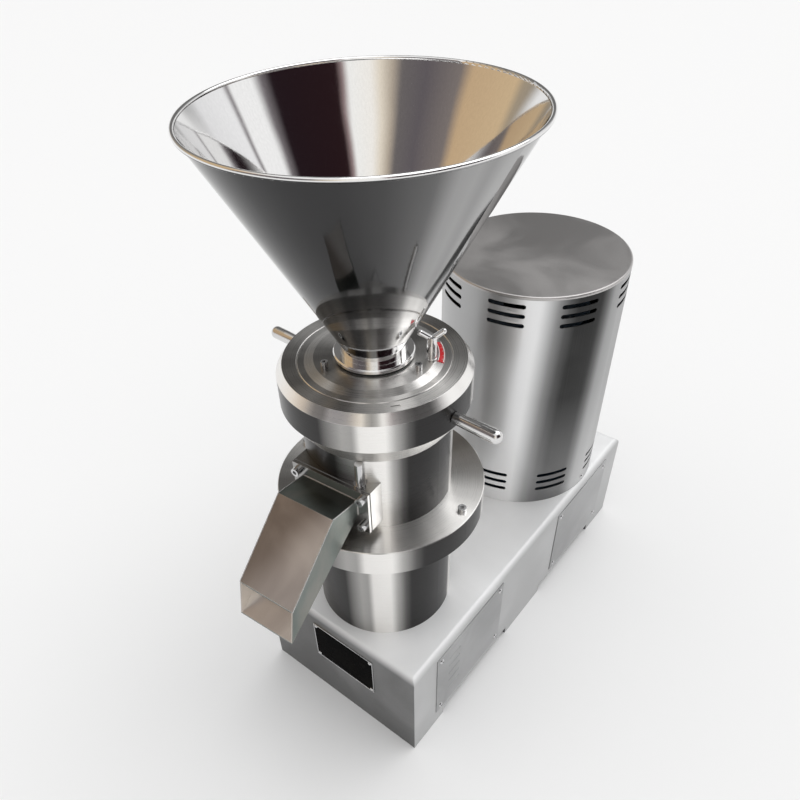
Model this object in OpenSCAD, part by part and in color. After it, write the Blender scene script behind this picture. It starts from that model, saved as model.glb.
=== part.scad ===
// Vertical colloid mill on a box base, in mm.
// +Z is up, the outlet chute faces -Y, the motor stands at +Y; the origin is on the floor under the middle of the machine.

/* [Base] */
// width of the base across the machine
base_w = 306; // [290:1:330]
// length of the base
base_l = 683; // [670:1:720]
// height of the base
base_h = 198; // [190:1:220]
// sheet thickness of the base
base_t = 3; // [2:0.5:4]
// radius of the folded top edges
base_r = 10; // [6:0.5:14]
// height of the reliefs between the feet
relief_h = 16; // [8:1:22]
// length of the reliefs between the feet
relief_l = 200; // [160:1:210]
// distance from the middle of the base to the middle of a relief
relief_off = 161; // [150:1:170]
// width of the folded lips that stand on the floor
foot_lip = 26; // [20:1:32]
// thickness of the deck plate under the top
deck_t = 8; // [6:1:10]
// distance from the front end of the base to the mill axis
mill_inset = 127; // [122:1:135]
// distance from the rear end of the base to the motor axis
motor_inset = 150; // [149:1:160]

/* [Side panels] */
// length of a side panel
panel_l = 190; // [180:1:198]
// height of a side panel
panel_h = 152; // [140:1:156]
// thickness of a side panel
panel_t = 1.5; // [1:0.25:2.5]
// distance from a panel's edge to its screws
panel_margin = 11; // [9:0.5:13]
// distance from the front end of the base to the middle of the front panels
panel_front = 154; // [150:1:165]
// distance from the rear end of the base to the middle of the rear panels
panel_rear = 150; // [140:1:155]
// height of the panels' middle above the floor
panel_z = 107; // [103:1:110]
// length of a louvre
louvre_l = 30; // [20:1:40]
// height of a louvre
louvre_h = 10; // [7:0.5:12]
// distance from one louvre to the next
louvre_pitch = 21; // [16:0.5:24]

/* [Front plate and gland] */
// width of the front plate
plate_w = 121; // [100:1:140]
// height of the front plate
plate_h = 84; // [70:1:100]
// thickness of the front plate
plate_t = 1.2; // [0.8:0.1:2]
// sideways place of the front plate's middle
plate_x = 12.5; // [-10:0.5:20]
// radius of the cable gland's body
gland_r = 12; // [9:0.5:14]
// how far the cable gland stands out of the base
gland_reach = 22; // [18:1:28]

/* [Bearing housing and flange] */
// radius of the bearing housing
housing_r = 104.5; // [100:0.5:108]
// height of the bearing housing
housing_h = 198; // [180:1:215]
// radius of the flange disc
flange_r = 148; // [142:0.5:155]
// thickness of the flange disc
flange_t = 42; // [36:1:48]
// radius of the circle of flange screws
flange_pcd_r = 133; // [128:0.5:134]
// radius of the bearings
bearing_r = 42.5; // [40:0.5:46]
// width of the bearings
bearing_w = 19; // [17:0.5:21]

/* [Mill body and outlet] */
// radius of the mill body
body_r = 100.7; // [99.5:0.1:103]
// height of the mill body up to its shoulder
body_h = 118; // [112:1:126]
// inner radius of the mill body
body_bore = 84; // [82:0.5:86]
// radius of the neck that carries the adjusting ring
neck_r = 97; // [95:0.25:98]
// height of the neck
neck_h = 42; // [38:1:46]
// angle of the outlet away from straight ahead
outlet_turn = 3.9; // [0:0.1:8]
// width of the outlet block
outlet_w = 121; // [116:1:130]
// height of the outlet block
outlet_h = 68; // [64:1:74]
// height of the outlet's middle above the flange
outlet_rise = 48; // [44:1:52]
// distance from the mill axis to the outlet block's front
outlet_front = 105; // [103:0.5:110]
// thickness of the chute's flange plate
chute_plate_t = 5; // [4:0.5:7]
// width of the chute
chute_w = 87; // [82:1:88]
// sheet thickness of the chute
chute_t = 2; // [1.5:0.25:3]
// length of the chute's level roof
chute_roof = 49; // [40:1:56]
// distance from the mill axis to the tip of the chute
chute_reach = 261; // [240:1:290]
// how far the chute's tip lies below the outlet's middle
chute_drop = 110; // [95:1:120]

/* [Adjusting ring] */
// radius of the adjusting ring
ring_r = 124.3; // [122:0.1:128]
// height of the ring's conical underside
ring_skirt = 34; // [28:1:38]
// height of the ring's straight side
ring_side = 40; // [34:1:46]
// height of the bevel at the top of the ring
ring_bevel_h = 12.6; // [8:0.2:14]
// width of the bevel at the top of the ring
ring_bevel_w = 8.4; // [5:0.2:12]
// distance from the mill axis to the handles' tips
handle_tip = 191; // [180:1:200]
// radius of the handles
handle_r = 9; // [7:0.25:10]
// radius of the handles' roots
handle_root_r = 6; // [5:0.25:7]
// angle of the handles at rest
handle_turn = -2; // [-15:1:15]

/* [Feed disc and lock] */
// rise of the feed disc's middle above the ring
disc_rise = 3; // [2:0.25:5]
// outer radius of the feed disc's slope
disc_slope_r = 88; // [86:0.5:91]
// inner radius of the feed disc's slope
disc_top_r = 76; // [75:0.5:78]
// radius of the feed hole
feed_r = 38; // [36:0.5:38.5]
// radius of the circle of disc screws
disc_pcd_r = 66; // [64:0.5:68]
// angle of the first disc screw
disc_screw_turn = 3; // [-5:1:8]
// radius of the lock screw
lock_r = 6.25; // [5:0.25:7]
// height of the lock screw above the disc
lock_h = 28; // [24:1:29]
// angle of the lock screw around the disc
lock_turn = 26; // [24:1:30]
// radius of the lock screw's circle
lock_pcd_r = 72; // [71:0.5:72.5]
// length of each lock wing
wing_l = 17; // [14:0.5:17.5]
// radius of the lock wings
wing_r = 3.6; // [3:0.1:4]
// lean of the lock wings away from upright
wing_lean = 55; // [45:1:57]

/* [Hopper] */
// radius of the hopper's rim
hopper_r = 183; // [170:1:200]
// height of the hopper's cone
hopper_h = 267; // [240:1:290]
// radius of the hopper's neck
hopper_neck_r = 41; // [40:0.25:42]
// height of the hopper's neck above its collar
hopper_neck_h = 11; // [8:0.5:14]
// sheet thickness of the hopper
hopper_t = 2; // [1.5:0.25:2.5]
// radius of the rolled rim
rim_r = 2.6; // [2:0.1:4]
// radius of the hopper's collar
collar_r = 51; // [49.5:0.5:53]
// thickness of the hopper's collar
collar_t = 6; // [4:0.5:8]
// depth of the hopper's spigot in the feed hole
spigot_h = 20; // [14:1:26]
// thickness of the hopper's seal
seal_t = 3; // [2:0.25:4]

/* [Rotor and stator] */
// radius of the rotor's lower end
rotor_r = 40; // [38:0.5:41]
// height of the rotor
rotor_h = 66; // [60:1:70]
// number of grooves in the rotor and in the stator
groove_count = 24; // [16:2:30]
// width of a groove
groove_w = 4; // [3:0.25:5]
// depth of a groove
groove_d = 4; // [2:0.25:5]
// gap between rotor and stator
mill_gap = 0.6; // [0.4:0.05:1]
// radius of the mill shaft in its bearings
shaft_r = 22.45; // [20:0.05:24]

/* [Drive] */
// radius of the drive pulley on the motor
drive_r = 75; // [65:1:82]
// radius of the driven pulley under the mill
driven_r = 56; // [50:1:64]
// number of belts
belt_count = 3; // [2:1:3]
// width of a belt
belt_w = 11; // [9:0.5:13]
// thickness of a belt
belt_t = 8; // [6:0.5:9]
// height of the pulleys' lower face above the floor
pulley_z = 62; // [50:1:66]

/* [Motor and cover] */
// radius of the motor's flange
motor_flange_r = 125; // [120:1:130]
// thickness of the motor's flange
motor_flange_t = 15; // [12:1:18]
// radius of the motor's frame
motor_r = 98; // [92:1:100]
// height of the motor's frame
motor_h = 240; // [210:1:260]
// height of the motor's fins
fin_h = 10; // [6:0.5:12]
// width and height of the motor's terminal box
box_w = 90; // [70:1:100]
// depth of the motor's terminal box
box_d = 38; // [30:1:42]
// height of the motor's fan
fan_h = 30; // [24:1:34]
// height of the fan's cowl
cowl_h = 70; // [60:1:80]
// radius of the motor shaft
motor_shaft_r = 14; // [12:0.5:16]
// radius of the motor cover
cover_r = 147; // [144:0.5:148]
// height of the motor cover
cover_h = 418; // [400:1:440]
// sheet thickness of the motor cover
cover_t = 1.5; // [1:0.25:2]
// radius of the rounded edge of the cover's lid
lid_r = 3; // [2:0.5:6]
// angle covered by a slot
slot_span = 22.8; // [16:0.2:26]
// height of a slot
slot_h = 7; // [5:0.5:9]
// distance from one slot to the next
slot_pitch = 16; // [12:0.5:18]
// angle from one group of slots to the next
slot_step = 43.2; // [40:0.2:45]
// distance from the cover's top to the upper slot group's middle
slot_top = 33; // [28:1:44]
// distance from the cover's foot to the lower slot group's middle
slot_foot = 48; // [40:1:56]

/* [Hidden] */
$fn = 96;
// clearances: turning parts, close running fits, loose fits of belts
turn_gap = 0.3;
run_gap = 0.05;
belt_gap = 0.5;
face_gap = 0.4;
// broken edges where the feed disc meets the ring
seam = 0.8;
eps = 0.5;

// places along the machine; the frame's middle lies halfway between the chute's tip and the gland's end
chute_tip_y = chute_reach * cos(outlet_turn) + chute_w / 2 * sin(outlet_turn);
reach_front = base_l / 2 - mill_inset + chute_tip_y;
reach_rear = base_l / 2 + gland_reach;
base_y = (reach_front - reach_rear) / 2;
front_y = base_y - base_l / 2;
rear_y = base_y + base_l / 2;
mill_y = front_y + mill_inset;
motor_y = rear_y - motor_inset;
axis_gap = motor_y - mill_y;

// heights of the milling head
deck_z = base_h - base_t - deck_t;
flange_z = base_h + housing_h;
body_z = flange_z + flange_t;
shoulder_z = body_z + body_h;
neck_z = shoulder_z + neck_h;
outlet_z = body_z + outlet_rise;
ring_z = shoulder_z + face_gap;
ring_side_z = ring_z + ring_skirt;
ring_bevel_z = ring_side_z + ring_side;
ring_top = ring_bevel_z + ring_bevel_h;
ring_bore = neck_r + turn_gap;
handle_z = ring_side_z + ring_side * 0.4;
disc_z = neck_z + 4;
disc_top = ring_top + disc_rise;
collar_z = disc_top + seal_t;
cone_z = collar_z + collar_t + hopper_neck_h;
rim_z = cone_z + hopper_h;
rotor_z = body_z + 34;
rotor_top_r = rotor_r - 6;
rotor_slope = 6 / rotor_h;

// fasteners
cap_r = 6.5;
cap_h = 8;
cap_shank = 4;

// panels
panel_screw_r = 5;
panel_window = 2 * panel_margin + 14;
side_x = base_w / 2;
panel_front_y = front_y + panel_front;
panel_rear_y = rear_y - panel_rear;
louvre_shift = -48;

// belts and pulleys
belt_pitch = belt_w + 5;
pulley_h = belt_count * belt_pitch + 5;
groove_depth = belt_t + 1.5;

// motor
motor_z = base_h + motor_flange_t;
motor_top = motor_z + motor_h;
cover_top = base_h + cover_h;
lid_h = lid_r + 2;

// Shared shapes

module at_mill() translate([0, mill_y, 0]) children();
module at_motor() translate([0, motor_y, 0]) children();
module at_outlet() at_mill() rotate([0, 0, outlet_turn]) children();

module tube(r_out, r_in, z0, z1) {
    difference() {
        translate([0, 0, z0]) cylinder(r = r_out, h = z1 - z0);
        translate([0, 0, z0 - eps]) cylinder(r = r_in, h = z1 - z0 + 2 * eps);
    }
}

module ring_of(count, radius, start) {
    for (i = [0 : count - 1])
        rotate([0, 0, start + i * 360 / count]) translate([radius, 0, 0]) children();
}

// rectangle whose two upper corners are rounded, standing on the x axis
module arch(w, h, r) {
    translate([-w / 2, 0]) square([w, h - r]);
    translate([-w / 2 + r, 0]) square([w - 2 * r, h]);
    for (s = [-1, 1])
        translate([s * (w / 2 - r), h - r]) circle(r);
}

// box with rounded upper edges
module soft_box(w, l, h, r) {
    intersection() {
        translate([0, l / 2, 0]) rotate([90, 0, 0]) linear_extrude(l) arch(w, h, r);
        translate([-w / 2, 0, 0]) rotate([90, 0, 90]) linear_extrude(w) arch(l, h, r);
    }
}

// profile in (reach from the mill axis, height), drawn out across the chute from x0 to x1
module across(x0, x1) {
    translate([x1, 0, 0]) rotate([90, 0, -90]) linear_extrude(x1 - x0) children();
}

// socket head cap screw standing on z = 0, shank pointing down
module cap_screw(r, h, shank_r, shank_l) {
    difference() {
        cylinder(r = r, h = h);
        translate([0, 0, h * 0.45]) cylinder(r = r * 0.55, h = h, $fn = 6);
    }
    translate([0, 0, -shank_l]) cylinder(r = shank_r, h = shank_l);
}

// low round head on z = 0
module dome(r, h) {
    ball = (r * r + h * h) / (2 * h);
    intersection() {
        translate([0, 0, h - ball]) sphere(ball);
        cylinder(r = r, h = h);
    }
}

// Base

module base_shell() color("#b9bcbd") {
    difference() {
        translate([0, base_y, 0]) union() {
            difference() {
                soft_box(base_w, base_l, base_h, base_r);
                translate([0, 0, -eps])
                    soft_box(base_w - 2 * base_t, base_l - 2 * base_t, base_h - base_t + eps, base_r - base_t);
            }
            for (sx = [-1, 1])
                translate([sx * (base_w / 2 - foot_lip / 2 - eps), 0, base_t / 2])
                    cube([foot_lip, base_l - 2 * eps, base_t], center = true);
        }
        for (py = [panel_front_y, panel_rear_y]) {
            translate([0, py, panel_z])
                cube([base_w + 2, panel_l - panel_window, panel_h - panel_window], center = true);
            panel_holes(py);
        }
        for (sy = [-1, 1])
            translate([0, base_y + sy * relief_off, 0]) cube([base_w + 2, relief_l, 2 * relief_h], center = true);
        plate_holes();
        at_mill() translate([0, 0, deck_z]) {
            cylinder(r = bearing_r - 6, h = base_h);
            ring_of(4, housing_r - 17, 45) cylinder(r = cap_shank + 1.2, h = base_h);
        }
        at_motor() translate([0, 0, deck_z]) {
            cylinder(r = drive_r - 15, h = base_h);
            ring_of(4, motor_flange_r - 14, 45) cylinder(r = cap_shank + 1.2, h = base_h);
        }
        gland_hole();
    }
}

module panel_holes(py) {
    for (sy = [-1, 1], sz = [-1, 1])
        translate([0, py + sy * (panel_l / 2 - panel_margin), panel_z + sz * (panel_h / 2 - panel_margin)])
            rotate([0, 90, 0]) cylinder(r = 2.5, h = base_w + 10, center = true);
}

module plate_holes() {
    for (sx = [-1, 1], sz = [-1, 1])
        translate([plate_x + sx * (plate_w / 2 - 4.5), front_y, plate_mid() + sz * (plate_h / 2 - 4)])
            rotate([90, 0, 0]) cylinder(r = 1.6, h = 4 * base_t, center = true);
}

function plate_mid() = base_h * 0.68;

module gland_hole() {
    translate([-base_w * 0.26, rear_y, base_h * 0.3]) rotate([90, 0, 0])
        cylinder(r = gland_r * 0.8, h = 4 * base_t, center = true);
}

module base_deck() color("#8d9093") {
    difference() {
        translate([0, base_y, deck_z + deck_t / 2])
            cube([base_w - 2 * base_r - 4, base_l - 2 * base_r - 4, deck_t], center = true);
        at_mill() translate([0, 0, deck_z - eps]) {
            cylinder(r = bearing_r - 6, h = base_h);
            ring_of(4, housing_r - 17, 45) cylinder(r = cap_shank + 1.2, h = base_h);
        }
        at_motor() translate([0, 0, deck_z - eps]) {
            cylinder(r = drive_r - 15, h = base_h);
            ring_of(4, motor_flange_r - 14, 45) cylinder(r = cap_shank + 1.2, h = base_h);
        }
    }
}

// side panel whose outer face looks along +x; its inner face lies on x = 0
module panel_sheet() {
    translate([panel_t / 2, 0, 0]) cube([panel_t, panel_l, panel_h], center = true);
}

// pressed hood of one louvre behind the sheet, open at its upper edge
module louvre_hood(length, height, depth, skin) {
    translate([0, length / 2, 0]) rotate([90, 0, 0]) linear_extrude(length)
        polygon([[0, 0], [0, -skin * 1.5], [-depth, height - skin], [-depth, height]]);
}

module side_panel(louvred) {
    depth = 5;
    difference() {
        panel_sheet();
        for (sy = [-1, 1], sz = [-1, 1])
            translate([0, sy * (panel_l / 2 - panel_margin), sz * (panel_h / 2 - panel_margin)])
                rotate([0, 90, 0]) cylinder(r = 2.5, h = 4 * panel_t, center = true);
        if (louvred)
            for (i = [-2 : 2])
                translate([-eps, louvre_shift - louvre_l / 2, i * louvre_pitch])
                    cube([panel_t + 2 * eps, louvre_l, louvre_h * 0.55]);
    }
    if (louvred)
        for (i = [-2 : 2])
            translate([panel_t, louvre_shift, i * louvre_pitch])
                louvre_hood(louvre_l, louvre_h, depth + panel_t, 1);
}

module panel_front_right() color("#a9adaf") translate([side_x, panel_front_y, panel_z]) side_panel(true);
module panel_front_left() color("#a9adaf") translate([-side_x, panel_front_y, panel_z])
    mirror([1, 0, 0]) side_panel(true);
module panel_rear_right() color("#a9adaf") translate([side_x, panel_rear_y, panel_z]) side_panel(false);
module panel_rear_left() color("#a9adaf") translate([-side_x, panel_rear_y, panel_z])
    mirror([1, 0, 0]) side_panel(false);

module panel_screws() color("#d8dadb") {
    for (sx = [0, 1], py = [panel_front_y, panel_rear_y], sy = [-1, 1], sz = [-1, 1])
        mirror([sx, 0, 0])
            translate([side_x + panel_t, py + sy * (panel_l / 2 - panel_margin),
                panel_z + sz * (panel_h / 2 - panel_margin)])
                rotate([0, 90, 0]) {
                    difference() {
                        dome(panel_screw_r, 2.8);
                        for (a = [45, 135])
                            rotate([0, 0, a]) translate([0, 0, 2.4]) cube([5, 1.2, 2.4], center = true);
                    }
                    translate([0, 0, -8]) cylinder(r = 2.4, h = 8);
                }
}

module front_plate() color("#141414") {
    difference() {
        translate([plate_x, front_y - plate_t / 2, plate_mid()]) cube([plate_w, plate_t, plate_h], center = true);
        plate_holes();
    }
}

module plate_rivets() color("#d8dadb") {
    for (sx = [-1, 1], sz = [-1, 1])
        translate([plate_x + sx * (plate_w / 2 - 4.5), front_y - plate_t, plate_mid() + sz * (plate_h / 2 - 4)])
            rotate([90, 0, 0]) {
                dome(3.2, 1.8);
                translate([0, 0, -4]) cylinder(r = 1.5, h = 4);
            }
}

module cable_gland() color("#2a2b2d") {
    translate([-base_w * 0.26, rear_y, base_h * 0.3]) rotate([-90, 0, 0]) difference() {
        union() {
            cylinder(r = gland_r * 1.15, h = gland_reach * 0.35, $fn = 6);
            cylinder(r = gland_r * 0.9, h = gland_reach * 0.6);
            translate([0, 0, gland_reach * 0.5]) cylinder(r = gland_r, h = gland_reach * 0.5);
            translate([0, 0, -base_t - 6]) cylinder(r = gland_r * 0.8, h = base_t + 7);
        }
        translate([0, 0, gland_reach - 3]) cylinder(r = gland_r * 0.6, h = 4);
    }
}

// Bearing housing and flange

module bearing_housing() color("#c3c6c8") at_mill() {
    web = bearing_w + 3;
    difference() {
        translate([0, 0, base_h]) cylinder(r = housing_r, h = housing_h);
        translate([0, 0, base_h + web]) cylinder(r = housing_r - 30, h = housing_h - 2 * web);
        translate([0, 0, base_h - eps]) cylinder(r = bearing_r - 5, h = housing_h + 2 * eps);
        translate([0, 0, base_h + 3]) cylinder(r = bearing_r, h = housing_h - 6);
        translate([0, 0, base_h - eps]) ring_of(4, housing_r - 17, 45) cylinder(r = cap_shank, h = 16);
    }
}

module housing_bolts() color("#5c5f63") at_mill() {
    ring_of(4, housing_r - 17, 45) translate([0, 0, deck_z]) mirror([0, 0, 1])
        cap_screw(cap_r, cap_h, cap_shank, deck_t + base_t + 14);
}

module bearing() {
    difference() {
        tube(bearing_r, shaft_r + run_gap, 0, bearing_w);
        for (z = [-1, bearing_w - 2])
            tube(bearing_r - 6, shaft_r + 6, z, z + 3);
    }
}

module lower_bearing() color("#9a9da1") at_mill() translate([0, 0, base_h + 3]) bearing();
module upper_bearing() color("#9a9da1") at_mill() translate([0, 0, flange_z - 3 - bearing_w]) bearing();

module flange_disc() color("#c8cbcd") at_mill() {
    difference() {
        tube(flange_r, bearing_r - 5, flange_z, body_z);
        translate([0, 0, body_z - flange_t * 0.6]) ring_of(4, flange_pcd_r, 4.9) cylinder(r = cap_shank, h = flange_t);
        for (z = [flange_z - 1, body_z - 1])
            rotate_extrude() translate([flange_r, z + 1]) rotate([0, 0, 45]) square(1.4, center = true);
    }
}

module flange_screws() color("#d8dadb") at_mill() {
    ring_of(4, flange_pcd_r, 4.9) translate([0, 0, body_z])
        cap_screw(cap_r - 0.5, cap_h * 0.7, cap_shank, flange_t * 0.55);
}

module shaft_seal() color("#6f6a60") at_mill() {
    tube(bearing_r - 5, shaft_r - 2 + run_gap, flange_z + 6, body_z);
    tube(shaft_r + 6, shaft_r - 2 + run_gap, body_z, body_z + 10);
}

// Mill body, outlet and chute

module mill_body() color("#c8cbcd") at_mill() {
    difference() {
        union() {
            tube(body_r, body_bore, body_z, shoulder_z);
            tube(neck_r, body_bore, shoulder_z - 1, neck_z);
        }
        rotate([0, 0, outlet_turn]) outlet_hole();
    }
}

// passage from the mill chamber to the chute
module outlet_hole() {
    inner_w = chute_w - 2 * chute_t - 4;
    translate([-inner_w / 2, -outlet_front - chute_plate_t - 1, outlet_z - 5])
        cube([inner_w, outlet_front + chute_plate_t - 40, outlet_h * 0.3]);
}

module outlet_block() color("#bfc2c4") at_outlet() {
    difference() {
        translate([-outlet_w / 2, -outlet_front, outlet_z - outlet_h / 2])
            cube([outlet_w, outlet_front - body_r * 0.5, outlet_h]);
        translate([0, 0, body_z]) cylinder(r = body_r, h = body_h);
        outlet_hole();
        chute_screw_places() cylinder(r = cap_shank, h = 60, center = true);
        stud_place() cylinder(r = 5, h = 24, center = true);
    }
}

// places of the four chute screws, with z pointing out of the chute plate
module chute_screw_places() {
    for (sx = [-1, 1], sz = [-1, 1])
        translate([sx * (outlet_w / 2 - 9), -outlet_front - chute_plate_t, outlet_z + sz * (outlet_h / 2 - 10.5)])
            rotate([90, 0, 0]) children();
}

module stud_place() translate([outlet_w / 2 - 20, -outlet_front + 6.5, outlet_z + outlet_h / 2]) children();

module chute_plate() color("#b5b8ba") at_outlet() {
    difference() {
        translate([-outlet_w / 2, -outlet_front - chute_plate_t, outlet_z - outlet_h / 2])
            cube([outlet_w, chute_plate_t, outlet_h]);
        outlet_hole();
        chute_screw_places() cylinder(r = cap_shank, h = 60, center = true);
    }
}

// duct folded from sheet: two walls, a sloping floor, and a roof that is level at first and then slopes to the mouth
module chute() color("#a8a39c") at_outlet() {
    start = outlet_front + chute_plate_t;
    tip = chute_reach;
    half = chute_w / 2;
    floor_skin = chute_t * 1.2;
    roof_skin = chute_t * 1.35;
    floor_start = [start, outlet_z - 8];
    floor_end = [tip, outlet_z - chute_drop];
    roof_start = [start, outlet_z + 18];
    roof_bend = [start + chute_roof, outlet_z + 26];
    roof_end = [tip - 11, outlet_z - chute_drop + 54];
    for (x = [-half, half - chute_t])
        across(x, x + chute_t) polygon([floor_start, floor_end, roof_end, roof_bend, roof_start]);
    across(-half, half) {
        polygon([floor_start, floor_end, floor_end + [0, floor_skin], floor_start + [0, floor_skin]]);
        polygon([roof_start, roof_bend, roof_end, roof_end - [0, roof_skin], roof_bend - [0.6, roof_skin],
            roof_start - [0, chute_t]]);
    }
}

module chute_screws() color("#d8dadb") at_outlet() {
    chute_screw_places() cap_screw(cap_r - 0.5, cap_h, cap_shank, chute_plate_t + 14);
}

module stop_stud() color("#d0d2d4") at_outlet() {
    stud_place() translate([0, 0, -11]) cylinder(r = 5, h = 47);
}

module stud_washer() color("#d8dadb") at_outlet() {
    difference() {
        stud_place() tube(8, 5, 0, 4);
        translate([0, 0, body_z]) cylinder(r = body_r + turn_gap, h = body_h);
    }
}

// Turning shaft of the mill

module mill_shaft() color("#8f9296") at_mill() {
    translate([0, 0, pulley_z]) cylinder(r = shaft_r - 4, h = base_h - pulley_z - 2);
    translate([0, 0, base_h - 2]) cylinder(r = shaft_r, h = housing_h + 4);
    translate([0, 0, flange_z + 2]) cylinder(r = shaft_r - 2, h = rotor_z - flange_z - 2);
    translate([0, 0, rotor_z]) cylinder(r = shaft_r - 6.45, h = rotor_h);
    translate([0, 0, rotor_z + rotor_h]) cylinder(r = shaft_r - 10.45, h = 16);
}

module rotor() color("#9fa3a6") at_mill() {
    difference() {
        translate([0, 0, rotor_z]) cylinder(r1 = rotor_r, r2 = rotor_top_r, h = rotor_h);
        translate([0, 0, rotor_z - eps]) cylinder(r = shaft_r - 6.45, h = rotor_h + 2 * eps);
        for (i = [0 : groove_count - 1])
            rotate([0, 0, i * 360 / groove_count])
                translate([rotor_r - 3, 0, rotor_z + rotor_h / 2]) rotate([12, 0, 0])
                    rotate([0, -atan(rotor_slope), 0])
                        translate([groove_d, 0, 0]) cube([4 * groove_d, groove_w, 2 * rotor_h], center = true);
    }
}

module rotor_nut() color("#d0d2d4") at_mill() translate([0, 0, rotor_z + rotor_h]) {
    difference() {
        union() {
            cylinder(r = 17, h = 12, $fn = 6);
            cylinder(r = 14, h = 14);
            translate([0, 0, 14]) dome(14, 9);
        }
        translate([0, 0, -eps]) cylinder(r = shaft_r - 10.45, h = 16 + eps);
    }
}

module pulley(radius, bore) {
    difference() {
        cylinder(r = radius, h = pulley_h);
        translate([0, 0, -eps]) cylinder(r = bore, h = pulley_h + 2 * eps);
        for (i = [0 : belt_count - 1])
            tube(radius + 1, radius - groove_depth, 5 + i * belt_pitch, 5 + i * belt_pitch + belt_w);
        for (z = [-1, pulley_h - 6])
            tube(radius - groove_depth - 6, bore + 12, z, z + 7);
    }
}

module driven_pulley() color("#4b4e52") at_mill() translate([0, 0, pulley_z]) pulley(driven_r, shaft_r - 4);

module pulley_washer(r) {
    translate([0, 0, pulley_z - 4]) cylinder(r = r, h = 4);
    translate([0, 0, pulley_z - 10]) cylinder(r = 8, h = 6, $fn = 6);
}

module driven_washer() color("#8f9296") at_mill() pulley_washer(shaft_r + 4);

// Adjusting ring and handles

module adjusting_ring() color("#cfd1d3") at_mill() {
    difference() {
        rotate_extrude() polygon([
            [ring_bore, ring_z], [body_r + 1, ring_z], [ring_r, ring_side_z], [ring_r, ring_bevel_z],
            [ring_r - ring_bevel_w, ring_top], [ring_bore + seam, ring_top], [ring_bore, ring_top - seam]]);
        for (a = [0, 180])
            rotate([0, 0, handle_turn + a]) translate([ring_r - 14, 0, handle_z]) rotate([0, 90, 0])
                cylinder(r = handle_root_r, h = 20);
        rotate([0, 0, -38]) translate([ring_r - 17.5, 0, ring_top]) cube([4, 11, 1.6], center = true);
    }
}

// bar handle along +x: a root in the ring, a bar that swells outwards and a domed end
module bar_handle() {
    root = ring_r - 14;
    seat_x = ring_r + 0.5;
    dome_x = handle_tip - handle_r;
    rotate([0, 90, 0]) rotate_extrude() {
        polygon([[0, root], [handle_root_r, root], [handle_root_r, seat_x], [handle_r * 0.84, seat_x],
            [handle_r * 0.88, seat_x + 0.8], [handle_r, dome_x - 2 * handle_r], [handle_r, dome_x], [0, dome_x]]);
        intersection() {
            translate([0, dome_x]) circle(handle_r);
            translate([0, dome_x - eps]) square([handle_r, handle_r + 2 * eps]);
        }
    }
}

module handle_right() color("#d0d2d4") at_mill() translate([0, 0, handle_z]) rotate([0, 0, handle_turn]) bar_handle();
module handle_left() color("#d0d2d4") at_mill() translate([0, 0, handle_z])
    rotate([0, 0, handle_turn + 180]) bar_handle();

// Feed disc, stator, scale strip

module feed_disc() color("#c9cbcd") at_mill() {
    difference() {
        rotate_extrude() polygon([
            [feed_r, disc_z], [neck_r, disc_z], [neck_r, ring_top - seam], [neck_r - seam, ring_top],
            [disc_slope_r, ring_top],
            [disc_top_r, disc_top], [feed_r, disc_top]]);
        translate([0, 0, disc_z - eps]) difference() {
            cylinder(r = neck_r - 6, h = 24);
            cylinder(r = neck_r - 15, h = 24);
        }
        ring_of(3, disc_pcd_r, disc_screw_turn) translate([0, 0, disc_z - 1]) cylinder(r = 3, h = 60);
        lock_place() translate([0, 0, -14]) cylinder(r = 4 + run_gap, h = 20);
    }
}

module lock_place() rotate([0, 0, lock_turn]) translate([lock_pcd_r, 0, disc_top]) children();

module stator() color("#9fa3a6") at_mill() {
    bore_low = rotor_r + mill_gap;
    bore_high = rotor_top_r + mill_gap;
    difference() {
        union() {
            translate([0, 0, disc_z - 12]) cylinder(r = neck_r - 17, h = 12);
            translate([0, 0, rotor_z - 2]) cylinder(r = rotor_r + 20, h = disc_z - rotor_z + 1);
        }
        translate([0, 0, rotor_z - 4]) cylinder(r1 = bore_low + 4 * rotor_slope, r2 = bore_high, h = rotor_h + 4);
        translate([0, 0, rotor_z + rotor_h - eps]) cylinder(r = bore_high, h = disc_z - rotor_z);
        for (i = [0 : groove_count - 1])
            rotate([0, 0, i * 360 / groove_count])
                translate([rotor_r - 3 + mill_gap, 0, rotor_z + rotor_h / 2 - 2]) rotate([-12, 0, 0])
                    rotate([0, -atan(rotor_slope), 0])
                        cube([2 * groove_d, groove_w, rotor_h + 20], center = true);
        ring_of(3, disc_pcd_r, disc_screw_turn) translate([0, 0, disc_z - 13]) cylinder(r = 3, h = 16);
    }
}

module disc_screws() color("#d8dadb") at_mill() {
    ring_of(3, disc_pcd_r, disc_screw_turn) translate([0, 0, disc_top])
        cap_screw(4.5, 9, 3, disc_top - disc_z + 8);
}

module scale_strip() color("#c8202a") at_mill() {
    r0 = lock_pcd_r + lock_r + 1.25;
    r1 = disc_slope_r - 0.5;
    slope = disc_rise / (disc_slope_r - disc_top_r);
    z0 = ring_top + slope * (disc_slope_r - r0);
    z1 = ring_top + slope * (disc_slope_r - r1);
    rotate([0, 0, lock_turn - 2]) rotate_extrude(angle = 30) polygon([
        [r0, z0], [r1, z1], [r1, z1 + 0.8], [r0, z0 + 0.8]]);
}

// Hopper

module hopper_seal() color("#1c1c1c") at_mill() tube(collar_r - 2, feed_r, disc_top, collar_z);

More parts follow.
